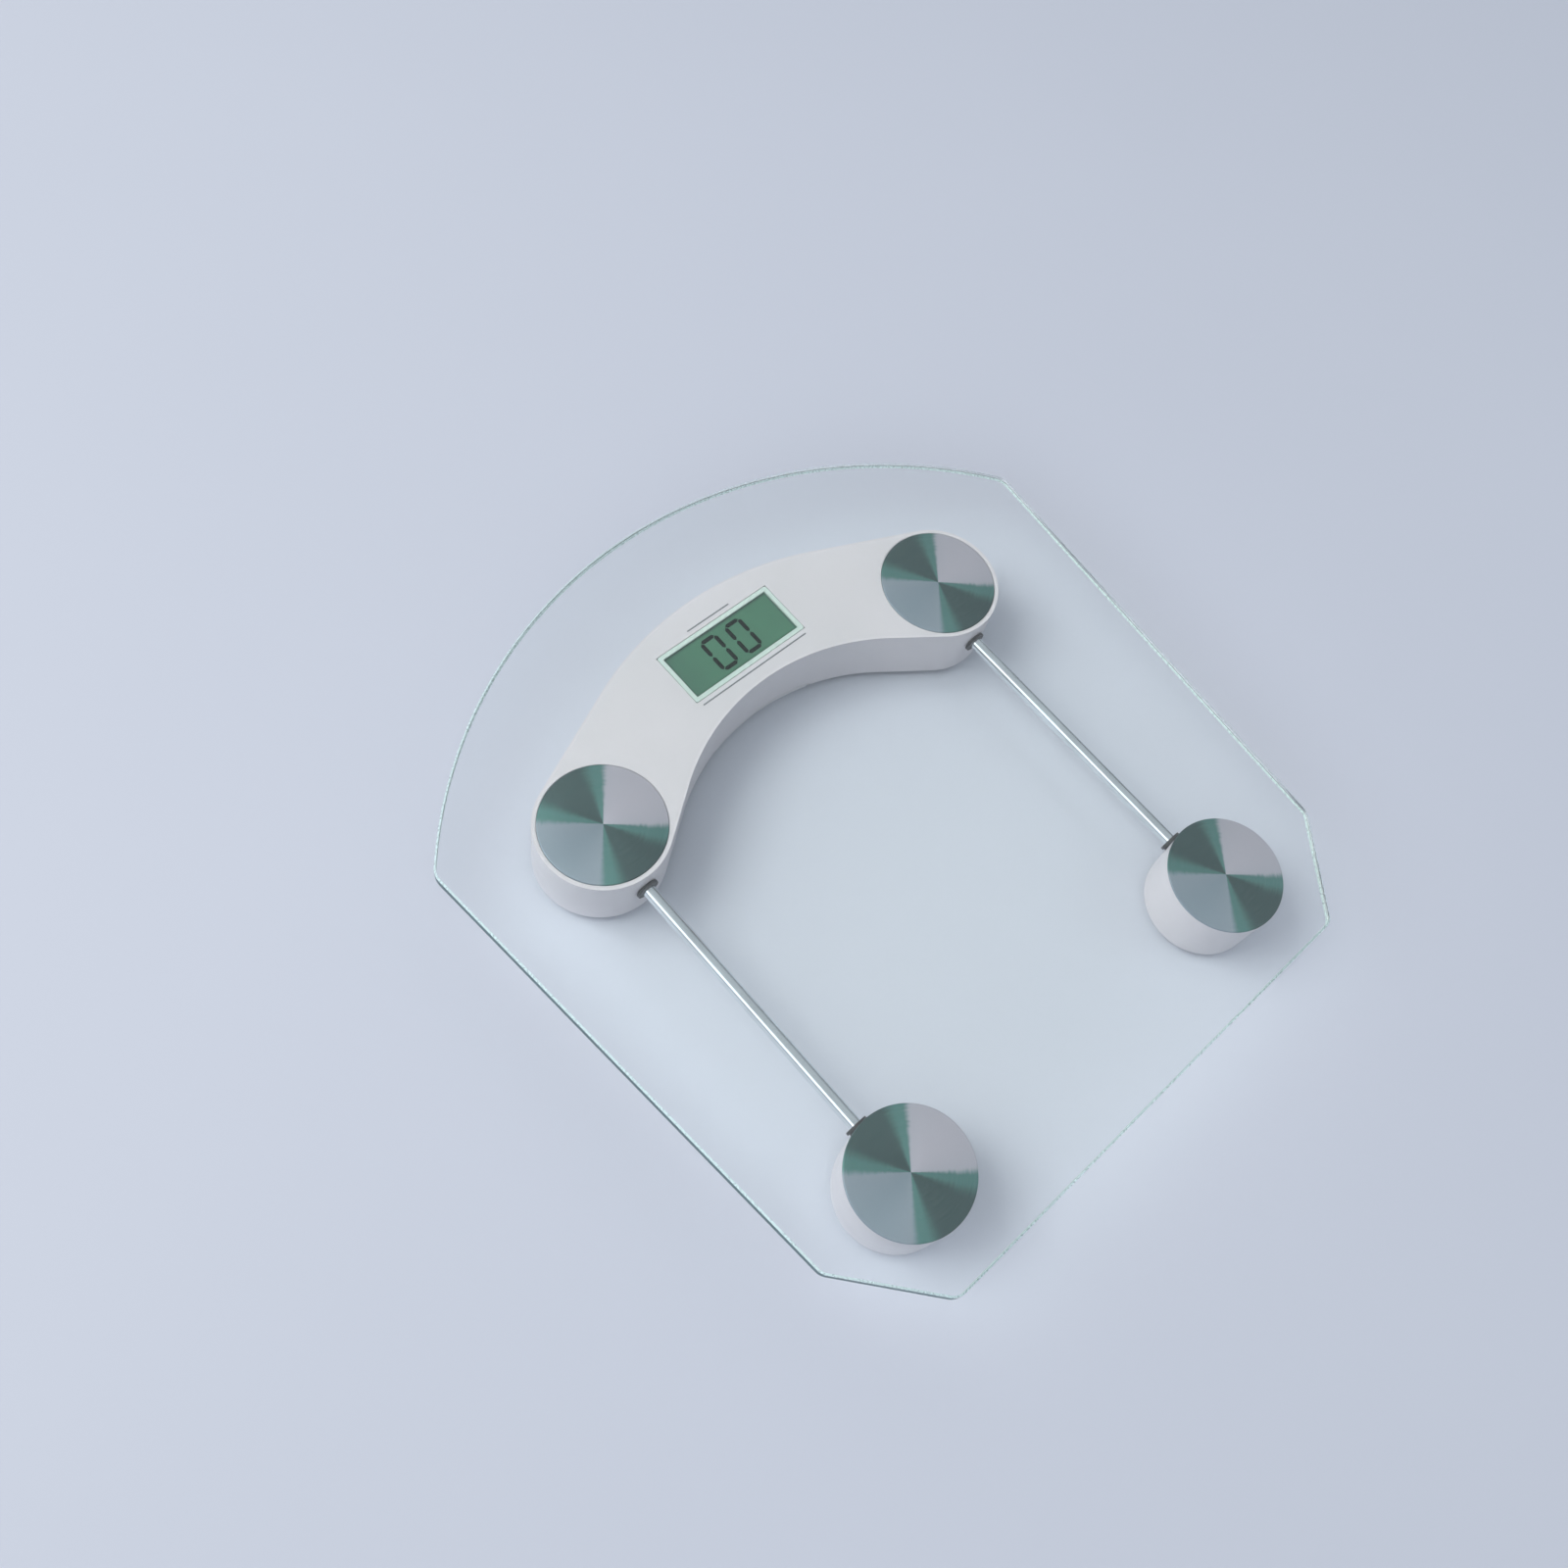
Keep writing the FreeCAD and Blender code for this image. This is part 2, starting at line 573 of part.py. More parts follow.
def crescent_shell():
    """The white upper housing: roof, outer walls, two foot pods, bosses and the display window."""
    shell = crescent_prism(0, FOOT_RIM_HEIGHT, shell_top)
    shell = shell.makeFillet(RIM_ROUND, edges_at_height(shell, FOOT_RIM_HEIGHT))
    cavity = crescent_prism(SHELL_WALL, FOOT_RIM_HEIGHT - ROOT, shell_ceiling)
    for side in (-1, 1):
        cavity = cavity.cut(cylinder(side * foot_x, back_y, 0, glass_height, ring_radius))
    shell = shell.cut(cavity)
    posts = []
    cuts = []
    for side in (-1, 1):
        x = side * foot_x
        cuts.append(cylinder(x, back_y, FOOT_RIM_HEIGHT - ROOT, foot_ceiling, foot_bore))
        cuts.append(cylinder(x, back_y, disc_base, glass_height, disc_radius + FIT))
        cuts.append(cylinder_y(x, back_y - pod_radius - ROOT, back_y, tube_z, BUSH_RADIUS + SEAT))
        cuts.append(pod_wire_slot(side))
        posts += cell_posts(x, back_y, foot_ceiling)
    shell = shell.cut(cuts)
    bosses = []
    pilots = []
    for x, y in cover_boss_spots():
        bosses.append(cylinder(x, y, cover_top, shell_ceiling + ROOT, COVER_BOSS_RADIUS))
        pilots.append(cylinder(x, y, cover_top, shell_ceiling - PILOT_END, COVER_SCREW_RADIUS))
    for x, y in board_screw_spots():
        bosses.append(cylinder(x, y, guide_base, shell_ceiling + ROOT, BOARD_BOSS_RADIUS))
        pilots.append(cylinder(x, y, guide_base, board_pilot_top, BOARD_SCREW_RADIUS))
    shell = shell.fuse(posts + bosses)
    half = door_x / 2 + FIT
    door_way = box(-half, half, feet_middle_y, lcd_y, FOOT_RIM_HEIGHT - ROOT, cover_top + FIT)
    return shell.cut(pilots + [display_opening(shell_ceiling - ROOT, shell_top), door_way])


def display_opening(z_low, z_high):
    return centred_box(0, lcd_y, lcd_x + 2 * FIT, lcd_depth + 2 * FIT, z_low, z_high)


def bond_film():
    """Clear adhesive between the crescent's roof and the glass."""
    cuts = [display_opening(shell_top, glass_height)]
    for side in (-1, 1):
        cuts.append(cylinder(side * foot_x, back_y, shell_top, glass_height, disc_radius + FIT))
    return crescent_prism(BOND_INSET, shell_top, glass_height).cut(cuts)


def door_outline(width, gap, z_low, z_high):
    """The door's footprint: a rectangle whose front edge follows the crescent's inner wall."""
    front = box(-width / 2, width / 2, feet_middle_y, door_back + gap, z_low, z_high)
    return front.cut(cylinder(0, feet_middle_y, z_low, z_high, inner_radius))


def battery_bay():
    """Four walls round the battery; the end wall has a notch for the leads."""
    bay_top = cover_top + BAY_HEIGHT
    walls = centred_box(0, lcd_y, bay_x + 2 * BAY_WALL, bay_y + 2 * BAY_WALL, cover_top - STEP, bay_top)
    notch_width, notch_depth = LEAD_NOTCH
    return walls.cut([
        centred_box(0, lcd_y, bay_x, bay_y, cover_base, bay_top),
        centred_box(-(bay_x + BAY_WALL) / 2, lcd_y, BAY_WALL, notch_width, bay_top - notch_depth, bay_top),
    ])


def crescent_cover():
    """The underside plate with the battery bay, the door slot and the button hole."""
    plate = crescent_prism(SHELL_WALL + FIT, cover_base, cover_top)
    for side in (-1, 1):
        plate = plate.cut(cylinder(side * foot_x, back_y, 0, glass_height, ring_radius + FIT))
    cover = plate.fuse(battery_bay())
    lip = cover_base + DOOR_THICKNESS / 2
    cuts = [
        door_outline(door_x + 2 * RUNNING, RUNNING, lip, cover_top - STEP),
        door_outline(door_x - 2 * DOOR_TONGUE + 2 * RUNNING, RUNNING, cover_base, lip),
        door_outline(bay_x, -BAY_WALL, cover_top - 2 * STEP, cover_top),
        centred_box(0, lcd_y, bay_x, bay_y, cover_base, cover_top),
        cylinder(button_x, button_y, cover_base, cover_top, BUTTON_RADIUS + RUNNING),
    ]
    head_room = cover_base + COVER_SCREW_HEAD + STEP / 2
    for x, y in cover_boss_spots():
        cuts.append(cylinder(x, y, cover_base, cover_top, COVER_SCREW_RADIUS + FIT))
        cuts.append(cylinder(x, y, cover_base, head_room, COVER_SCREW_RADIUS * 2 + FIT))
    return cover.cut(cuts)


def cover_screws():
    return group([screw(x, y, cover_base + STEP / 2, COVER_SCREW_RADIUS * 2, COVER_SCREW_HEAD,
                        COVER_SCREW_RADIUS, COVER_SCREW_LENGTH) for x, y in cover_boss_spots()])


def battery_door():
    """Slides out from under the inner wall: a thin plate with a tongue along each side."""
    lip = cover_base + (DOOR_THICKNESS + FIT) / 2
    top = cover_base + DOOR_THICKNESS - FIT / 2
    upper = door_outline(door_x, 0, lip, top)
    lower = door_outline(door_x - 2 * DOOR_TONGUE - 2 * RUNNING, 0, cover_base, lip)
    ridge_x, ridge_y, ridge_depth = DOOR_RIDGE
    first = feet_middle_y + inner_radius + DOOR_RIDGE_START
    ridge_top = cover_base + ridge_depth
    grooves = [centred_box(0, first + DOOR_RIDGE_PITCH * step, ridge_x, ridge_y, cover_base, ridge_top)
               for step in range(DOOR_RIDGES)]
    return upper.fuse(lower).cut(grooves)


# ---------------------------------------------------------------- display
def lcd_frame():
    outside = centred_box(0, lcd_y, lcd_x, lcd_depth, lcd_frame_base, shell_top)
    outside = outside.makeFillet(LCD_FRAME_BORDER / 2, vertical_edges(outside))
    return outside.cut(centred_box(0, lcd_y, LCD_WINDOW_X, LCD_WINDOW_Y, lcd_frame_base, shell_top))


def lcd_panel():
    """Two thin panes; the lower one is longer and carries the contact edge."""
    parting = lcd_base + LCD_GLASS_THICKNESS / 2
    upper = centred_box(0, lcd_y, lcd_x, lcd_depth - 2 * ZEBRA_WIDTH, parting, lcd_frame_base)
    return upper.fuse(centred_box(0, lcd_y, lcd_x, lcd_depth, lcd_base, parting))


def segment(x, y, length, along_x, z):
    """One bar of a digit, pointed at both ends."""
    half = length / 2
    tip = SEGMENT_WIDTH / 2
    flat = [(-half, 0), (tip - half, tip), (half - tip, tip),
            (half, 0), (half - tip, -tip), (tip - half, -tip)]
    points = []
    for along, across in flat + flat[:1]:
        points.append(V(x + along, y + across, z) if along_x else V(x + across, y + along, z))
    return Part.Face(Part.makePolygon(points)).extrude(V(0, 0, SEGMENT_THICKNESS))


def lcd_digits():
    """Two zeros of a seven-bar display, on the upper pane."""
    z = lcd_frame_base
    high = DIGIT_HEIGHT / 2 - SEGMENT_WIDTH / 2
    wide = DIGIT_WIDTH / 2 - SEGMENT_WIDTH / 2
    solids = []
    for digit_x in (-DIGIT_PITCH / 2, DIGIT_PITCH / 2):
        for side in (-1, 1):
            solids.append(segment(digit_x, lcd_y + side * high, 2 * wide - SEGMENT_GAP, True, z))
            for row in (-1, 1):
                y = lcd_y + row * high / 2
                solids.append(segment(digit_x + side * wide, y, high - SEGMENT_GAP, False, z))
    return group(solids)


def light_guide():
    return centred_box(0, lcd_y, lcd_x, lcd_depth - 2 * ZEBRA_WIDTH - 2 * FIT, guide_base, lcd_base)


def zebra_strips():
    """Elastomer strips that join the pane's contact edges to the board."""
    solids = []
    for side in (-1, 1):
        y = lcd_y + side * (lcd_depth / 2 - ZEBRA_WIDTH / 2)
        solids.append(centred_box(0, y, lcd_x - 2 * ZEBRA_WIDTH, ZEBRA_WIDTH, guide_base, lcd_base))
    return group(solids)


# ---------------------------------------------------------------- electronics
def circuit_board():
    board = box(-board_end, board_end, board_y - board_half_y, board_y + board_half_y, board_base, guide_base)
    return board.cut([cylinder(x, y, board_base, guide_base, BOARD_SCREW_RADIUS + FIT)
                      for x, y in board_screw_spots()])


def board_screws():
    length = board_pilot_top - STEP - board_base
    return group([screw(x, y, board_base - BOARD_SCREW_HEAD, BOARD_SCREW_RADIUS * 2, BOARD_SCREW_HEAD,
                        BOARD_SCREW_RADIUS, length) for x, y in board_screw_spots()])


def chip_blob():
    """The drop of black resin over the controller chip."""
    blob = cylinder(0, board_y, board_base - CHIP_HEIGHT, board_base, CHIP_RADIUS)
    return blob.makeFillet(CHIP_ROUND, edges_at_height(blob, board_base - CHIP_HEIGHT))


def board_components():
    """Capacitors and a row of resistors on the underside of the board."""
    solids = []
    for x, y in CAPACITOR_SPOTS:
        solids.append(cylinder(x, board_y + y, board_base - CAPACITOR_HEIGHT, board_base, CAPACITOR_RADIUS))
    wide, deep, high = RESISTOR
    for step in range(RESISTOR_COUNT):
        x = RESISTOR_PITCH * (step - (RESISTOR_COUNT - 1) / 2)
        solids.append(centred_box(x, board_y + RESISTOR_Y, wide, deep, board_base - high, board_base))
    return group(solids)


def tap_switch():
    """A small can with a ball inside that wakes the scale when it is tapped."""
    x, y = TAP_SWITCH_SPOT
    place = V(x, board_y + y, board_base - TAP_SWITCH_RADIUS)
    return Part.makeCylinder(TAP_SWITCH_RADIUS, TAP_SWITCH_LENGTH, place, V(1, 0, 0))


def unit_switch():
    low = board_base - SWITCH_HEIGHT
    body = centred_box(button_x, button_y, SWITCH_SIDE, SWITCH_SIDE, low, board_base)
    return body.fuse(cylinder(button_x, button_y, switch_tip, low, SWITCH_TIP_RADIUS))


def unit_button():
    """The kilogram, pound or stone button under the scale, with its long plunger."""
    cap = cylinder(button_x, button_y, cover_base - BUTTON_PROUD, cover_top, BUTTON_RADIUS)
    cap = cap.makeFillet(BUTTON_PROUD / 2, edges_at_height(cap, cover_base - BUTTON_PROUD))
    neck = cylinder(button_x, button_y, cover_top, cover_top + SEAT, BUTTON_RADIUS)
    collar_low = cover_top + SEAT
    collar_high = collar_low + BUTTON_COLLAR_HEIGHT
    collar = cylinder(button_x, button_y, collar_low, collar_high, BUTTON_RADIUS + BUTTON_COLLAR)
    tip = switch_tip - BUTTON_TRAVEL - TRAVEL_SPARE
    return cap.fuse([neck, collar, cylinder(button_x, button_y, cover_top, tip, BUTTON_STEM_RADIUS)])


def wire_plugs():
    """One small plug at each end of the board for the load-cell wires."""
    low = board_y + BACK_WIRE_Y - PLUG_HALF
    high = board_y + FRONT_WIRE_Y + PLUG_HALF
    plug = box(board_end - PLUG_LENGTH, board_end, low, high, tube_z - PLUG_HALF, board_base)
    return group([plug, mirrored(plug)])


def battery():
    low = battery_x - BATTERY_X / 2
    block = box(low, low + BATTERY_X, lcd_y - BATTERY_Y / 2, lcd_y + BATTERY_Y / 2,
                battery_base, battery_base + BATTERY_Z)
    return block.makeFillet(BATTERY_CORNER, edges_along_x(block, BATTERY_X))


def battery_snap():
    """The snap connector on the battery's terminals."""
    face = battery_x - BATTERY_X / 2
    z = battery_base + BATTERY_Z / 2
    thick, wide, high = SNAP_PLATE
    low = face - SNAP_LENGTH
    plate = box(low, low + thick, lcd_y - wide / 2, lcd_y + wide / 2, z - high / 2, z + high / 2)
    plate = plate.makeFillet(thick, edges_along_x(plate, thick))
    studs = []
    for side in (-1, 1):
        place = V(face - SNAP_STUD_LENGTH, lcd_y + side * SNAP_STUD_SPACING / 2, z)
        studs.append(Part.makeCylinder(SNAP_STUD_RADIUS, SNAP_STUD_LENGTH, place, V(1, 0, 0)))
    return plate.fuse(studs)


def battery_leads():
    start = battery_x - BATTERY_X / 2 - SNAP_LENGTH
    end = start - LEAD_REACH
    z = battery_base + BATTERY_Z / 2 + LEAD_RISE
    solids = []
    for side in (-1, 1):
        y = lcd_y + side * LEAD_SPACING / 2
        points = [V(start, y, z), V(end, y, z), V(end, y, board_base)]
        solids.append(round_wire(points, LEAD_BEND, LEAD_RADIUS))
    return group(solids)


# ---------------------------------------------------------------- wire tubes and wires
def wire_tube(side):
    """A steel tube from inside the front foot to inside the back pod."""
    low = front_y + foot_bore - TUBE_REACH
    high = back_y - pod_radius + TUBE_INSERTION
    tube = cylinder_y(side * foot_x, low, high, tube_z, TUBE_RADIUS)
    return tube.cut(cylinder_y(side * foot_x, low, high, tube_z, TUBE_RADIUS - TUBE_WALL))


def tube_bushes(side):
    """Flanged plastic bushes that close the gap round the tube where it enters each foot."""
    x = side * foot_x
    front_wall = front_y + foot_base_radius + FRONT_BUSH_STANDOFF
    back_wall = back_y - pod_radius - BACK_BUSH_STANDOFF
    solids = []
    for wall, way in ((front_wall, -1), (back_wall, 1)):
        outer = wall - way * BUSH_FLANGE
        inner = wall + way * BUSH_BARREL
        flange = cylinder_y(x, min(wall, outer), max(wall, outer), tube_z, BUSH_FLANGE_RADIUS)
        barrel = cylinder_y(x, min(wall, inner), max(wall, inner), tube_z, BUSH_RADIUS)
        bore = cylinder_y(x, min(outer, inner), max(outer, inner), tube_z, TUBE_RADIUS + SEAT)
        solids.append(flange.fuse(barrel).cut(bore))
    return group(solids)


def beside_pod(radius, degrees):
    """A bend of a wire about the middle of the right-hand pod, on the display's side."""
    angle = math.radians(degrees)
    return V(foot_x - radius * math.cos(angle), back_y + radius * math.sin(angle), tube_z)


def front_wire_exit():
    return beside_pod(ring_radius + FRONT_WIRE_OUTSIDE, FRONT_WIRE_OUTER_ANGLE)


def into_plug(plug_y, nearer):
    """The last bend of a wire and its end in the plug, with a straight run between them."""
    bend_x = board_end + WIRE_APPROACH * (front_wire_exit().x - board_end) - nearer
    return [V(bend_x, plug_y, tube_z), V(board_end, plug_y, tube_z)]


def front_cell_wire(side):
    """Up from the front load cell, through the tube and the pod, to the board."""
    start_y = front_y + CELL_SIDE / 2 - CELL_FRAME / 2
    points = [
        V(foot_x, start_y, cell_top),
        V(foot_x, start_y, tube_z),
        V(foot_x, back_y + FRONT_WIRE_TURN, tube_z),
        beside_pod(foot_bore - WIRE_INSIDE_BORE, FRONT_WIRE_INNER_ANGLE),
        front_wire_exit(),
    ]
    wire = round_wire(points + into_plug(board_y + FRONT_WIRE_Y, 0), WIRE_BEND, WIRE_RADIUS)
    return wire if side > 0 else mirrored(wire)


def back_cell_wire(side):
    """Up from the back load cell, beside the front one's wire, to the board."""
    start_x = foot_x - CELL_SIDE / 2 + CELL_FRAME / 2
    start_y = back_y + BACK_WIRE_START
    outside = beside_pod(ring_radius + BACK_WIRE_OUTSIDE, BACK_WIRE_ANGLE)
    points = [V(start_x, start_y, cell_top), V(start_x, start_y, tube_z), outside]
    wire = round_wire(points + into_plug(board_y + BACK_WIRE_Y, BACK_WIRE_NEARER), WIRE_BEND, WIRE_RADIUS)
    return wire if side > 0 else mirrored(wire)


# ---------------------------------------------------------------- all the pieces
def build():
    nodes = {
        "glass_platform": glass_platform(),
        "crescent_bond_film": bond_film(),
        "crescent_shell": crescent_shell(),
        "crescent_cover": crescent_cover(),
        "cover_screws": cover_screws(),
        "battery_door": battery_door(),
        "battery": battery(),
        "battery_snap": battery_snap(),
        "battery_leads": battery_leads(),
        "lcd_frame": lcd_frame(),
        "lcd_panel": lcd_panel(),
        "lcd_digits": lcd_digits(),
        "lcd_light_guide": light_guide(),
        "lcd_zebra_strips": zebra_strips(),
        "circuit_board": circuit_board(),
        "board_screws": board_screws(),
        "board_components": board_components(),
        "controller_chip": chip_blob(),
        "tap_switch": tap_switch(),
        "unit_switch": unit_switch(),
        "unit_button": unit_button(),
        "wire_plugs": wire_plugs(),
        "strain_gauges": group([strain_gauge(x, y) for x, y in FEET.values()]),
    }
    for place, (x, y) in FEET.items():
        nodes[place + "_disc"] = trim_disc(x, y)
        nodes[place + "_load_cell"] = load_cell(x, y)
        nodes[place + "_cell_clamp"] = cell_clamp(x, y)
        nodes[place + "_foot_shoe"] = foot_shoe(x, y)
        nodes[place + "_foot_screw"] = foot_screw(x, y)
        nodes[place + "_foot_pad"] = foot_pad(x, y)
        if place.startswith("front"):
            nodes[place + "_foot_housing"] = front_foot_housing(x, y)
    for name, side in (("left", -1), ("right", 1)):
        nodes[name + "_wire_tube"] = wire_tube(side)
        nodes[name + "_tube_bushes"] = tube_bushes(side)
        nodes["front_" + name + "_cell_wire"] = front_cell_wire(side)
        nodes["back_" + name + "_cell_wire"] = back_cell_wire(side)
    return nodes


def main():
    os.makedirs("parts", exist_ok=True)
    for name, shape in build().items():
        solids = shape.Solids
        if not solids or not shape.isValid():
            raise ValueError(name + " isn't a valid solid")
        shape.exportStep("parts/" + name + ".step")
        print(f"{name:28s} {len(solids)} solids {shape.Volume / 1000:9.3f} cm3")


main()
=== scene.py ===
"""Looks for the digital bathroom scale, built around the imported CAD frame."""
import math

import bmesh
import bpy
from mathutils import Matrix, Vector


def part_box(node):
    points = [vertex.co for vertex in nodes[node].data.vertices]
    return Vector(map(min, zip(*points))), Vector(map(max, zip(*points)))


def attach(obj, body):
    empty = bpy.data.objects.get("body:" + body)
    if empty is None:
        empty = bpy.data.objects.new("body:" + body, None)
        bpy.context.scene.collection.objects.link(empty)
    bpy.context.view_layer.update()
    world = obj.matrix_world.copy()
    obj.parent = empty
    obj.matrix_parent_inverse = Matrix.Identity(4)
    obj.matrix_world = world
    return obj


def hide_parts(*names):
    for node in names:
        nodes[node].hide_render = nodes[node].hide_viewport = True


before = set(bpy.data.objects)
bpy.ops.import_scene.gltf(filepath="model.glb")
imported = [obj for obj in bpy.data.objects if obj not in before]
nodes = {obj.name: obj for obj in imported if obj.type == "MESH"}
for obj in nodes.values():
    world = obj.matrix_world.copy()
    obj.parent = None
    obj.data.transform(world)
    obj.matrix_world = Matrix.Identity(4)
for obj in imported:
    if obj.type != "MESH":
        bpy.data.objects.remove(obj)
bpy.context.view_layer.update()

MM = 0.001
FEET = ("front_left", "front_right", "back_left", "back_right")
PAINTED_GLINT_TURN = 5.0              # degrees that the discs' painted glint sectors are turned from the X axis
GLASS_GAP = 0.05 * MM          # air between the glass and what is stuck under it
LCD_BORDER = 2.0 * MM          # width of the pale frame round the display window
NOISE_LOW, NOISE_HIGH = 0.3, 0.7   # most of a noise texture's values lie between these
LATHE_STEPS = 128              # sides of a lathe-turned piece
DIMPLE = ((0, 0.16), (0.5, 0.15), (1.0, 0.05), (1.5, 0))            # a disc's middle: radius, depth in mm
ROLLED_EDGE = ((0.5, 0), (0.2, 0.07), (0.04, 0.26), (0, 0.5))       # its rim: inset, depth in mm
LAMP_AIM = Vector((0, 0, 0.02))     # the middle of the scale, half way up
frame_low, frame_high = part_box("lcd_frame")
LCD_HALF = (frame_high - frame_low) / 2 - Vector((LCD_BORDER, LCD_BORDER, 0))


# ------------------------------------------------------------------ node helpers
def plug(tree, socket, value):
    """Feed a socket from another node's output, or give it a plain value."""
    if isinstance(value, bpy.types.NodeSocket):
        tree.links.new(value, socket)
    else:
        socket.default_value = value


def add_node(tree, kind, inputs=None, **settings):
    made = tree.nodes.new(kind)
    for key, value in settings.items():
        setattr(made, key, value)
    for key, value in (inputs or {}).items():
        plug(tree, made.inputs[key], value)
    return made


def map_range(tree, value, low_in, high_in, low_out, high_out, smooth=False):
    """Take a value from one range to another, in a straight line or as a smooth step."""
    made = add_node(tree, "ShaderNodeMapRange",
                    {"Value": value, "From Min": low_in, "From Max": high_in,
                     "To Min": low_out, "To Max": high_out},
                    interpolation_type="SMOOTHSTEP" if smooth else "LINEAR")
    return made.outputs["Result"]


class Shader:
    """A short way to write a procedural material."""

    def __init__(self, name, **sockets):
        self.material = bpy.data.materials.new(name)
        self.material.use_nodes = True
        self.tree = self.material.node_tree
        self.bsdf = self.tree.nodes["Principled BSDF"]
        self.output = self.tree.nodes["Material Output"]
        self.coords = self.node("ShaderNodeTexCoord")
        for socket, value in sockets.items():
            self.bsdf.inputs[socket.replace("_", " ")].default_value = value

    def node(self, kind, inputs=None, **settings):
        return add_node(self.tree, kind, inputs, **settings)

    def set(self, socket, value):
        plug(self.tree, self.bsdf.inputs[socket], value)

    def position(self):
        return self.coords.outputs["Object"]

    def noise(self, scale, detail=3.0, roughness=0.5, vector=None):
        """Noise of so many cells per metre, or per unit of the vector given."""
        made = self.node("ShaderNodeTexNoise", {"Vector": vector or self.position(), "Scale": scale,
                                                "Detail": detail, "Roughness": roughness})
        return made.outputs["Fac"]

    def scaled(self, factors):
        made = self.node("ShaderNodeVectorMath", {0: self.position(), 1: factors}, operation="MULTIPLY")
        return made.outputs["Vector"]

    def axes(self, vector):
        made = self.node("ShaderNodeSeparateXYZ", {"Vector": vector})
        return made.outputs["X"], made.outputs["Y"], made.outputs["Z"]

    def math(self, operation, a, b=0.0):
        return self.node("ShaderNodeMath", {0: a, 1: b}, operation=operation).outputs[0]

    def span(self, value, low_in, high_in, low_out, high_out, smooth=False):
        return map_range(self.tree, value, low_in, high_in, low_out, high_out, smooth)

    def spread(self, noise, low, high):
        """A noise stretched to run from low to high."""
        return self.span(noise, NOISE_LOW, NOISE_HIGH, low, high)

    def mix(self, factor, a, b):
        made = self.node("ShaderNodeMix", data_type="RGBA")
        for socket, value in zip((made.inputs[0], made.inputs[6], made.inputs[7]), (factor, a, b)):
            plug(self.tree, socket, value)
        return made.outputs[2]

    def bump(self, height, distance, strength):
        made = self.node("ShaderNodeBump", {"Height": height, "Distance": distance, "Strength": strength})
        self.set("Normal", made.outputs["Normal"])

    def lets_lamps_through(self, tint):
        """Lamps shine straight through, so that what is under the glass is lit evenly."""
        path = self.node("ShaderNodeLightPath")
        clear = self.node("ShaderNodeBsdfTransparent", {"Color": tint})
        mixed = self.node("ShaderNodeMixShader", {0: path.outputs["Is Shadow Ray"], 1: self.bsdf.outputs[0],
                                                  2: clear.outputs[0]})
        plug(self.tree, self.output.inputs["Surface"], mixed.outputs[0])


def rgb(red, green, blue):
    return (red, green, blue, 1.0)


# ------------------------------------------------------------------ materials
def platform_glass():
    """Clear tempered glass with nearly colourless faces and dark teal, frosted ground edges; the chamfers
    between them are painted pale, partly their frosted ground finish and partly a painted highlight.
    """
    s = Shader("platform_glass", IOR=1.52)
    side_clarity, chamfer_clarity = 0.12, 0.40
    geometry = s.node("ShaderNodeNewGeometry")
    # facing is 1 on the flat faces, 0 on the upright sides and about 0.7 on the chamfers between them
    facing = s.math("ABSOLUTE", s.axes(geometry.outputs["True Normal"])[2])
    outside = s.math("SUBTRACT", 1.0, geometry.outputs["Backfacing"])
    side = s.math("MULTIPLY", s.span(facing, 0.30, 0.50, 1.0, 0.0), outside)
    past_side = s.span(facing, 0.50, 0.65, 0.0, 1.0)
    short_of_face = s.span(facing, 0.80, 0.95, 1.0, 0.0)
    chamfer = s.math("MULTIPLY", past_side, short_of_face)
    drift = s.spread(s.noise(30.0, 2.0), 0.0, 1.0)
    teal = s.mix(drift, rgb(0.012, 0.080, 0.088), rgb(0.020, 0.110, 0.118))
    body = s.mix(side, rgb(0.975, 0.995, 0.99), teal)
    # painted highlight: the chamfers are painted pale, partly for their frosted ground finish and partly as a
    # highlight along the glass's edge
    s.set("Base Color", s.mix(chamfer, body, rgb(0.72, 0.90, 0.87)))
    s.set("Transmission Weight", s.math("MULTIPLY", s.span(side, 0.0, 1.0, 1.0, side_clarity),
                                        s.span(chamfer, 0.0, 1.0, 1.0, chamfer_clarity)))
    frost = s.spread(s.noise(900.0), 0.22, 0.36)
    s.set("Roughness", s.math("MULTIPLY", s.math("MAXIMUM", side, chamfer), frost))
    s.lets_lamps_through(rgb(0.96, 0.988, 0.985))
    return s.material


def clear_adhesive():
    """The optical film between glass and housing, which hardly shows."""
    s = Shader("clear_adhesive", Roughness=0.3, Alpha=0.04)
    s.set("Base Color", s.mix(s.noise(80.0), rgb(0.85, 0.9, 0.9), rgb(0.95, 0.97, 0.97)))
    return s.material


def moulded_plastic(name, colour, shade, roughness=0.34, grain=1.0):
    """Injection-moulded plastic: faint colour drift, fine spark texture and a satin sheen."""
    s = Shader(name, Coat_Weight=0.06, Coat_Roughness=0.25)
    s.set("Base Color", s.mix(s.spread(s.noise(22.0), 0.0, 1.0), rgb(*colour), rgb(*shade)))
    s.set("Roughness", s.spread(s.noise(180.0, 4.0), roughness - 0.05, roughness + 0.08))
    waves = s.math("MULTIPLY", s.noise(70.0), 2.0)
    s.bump(s.math("ADD", s.noise(2400.0, 2.0), waves), 0.03 * MM * grain, 0.4)
    return s.material


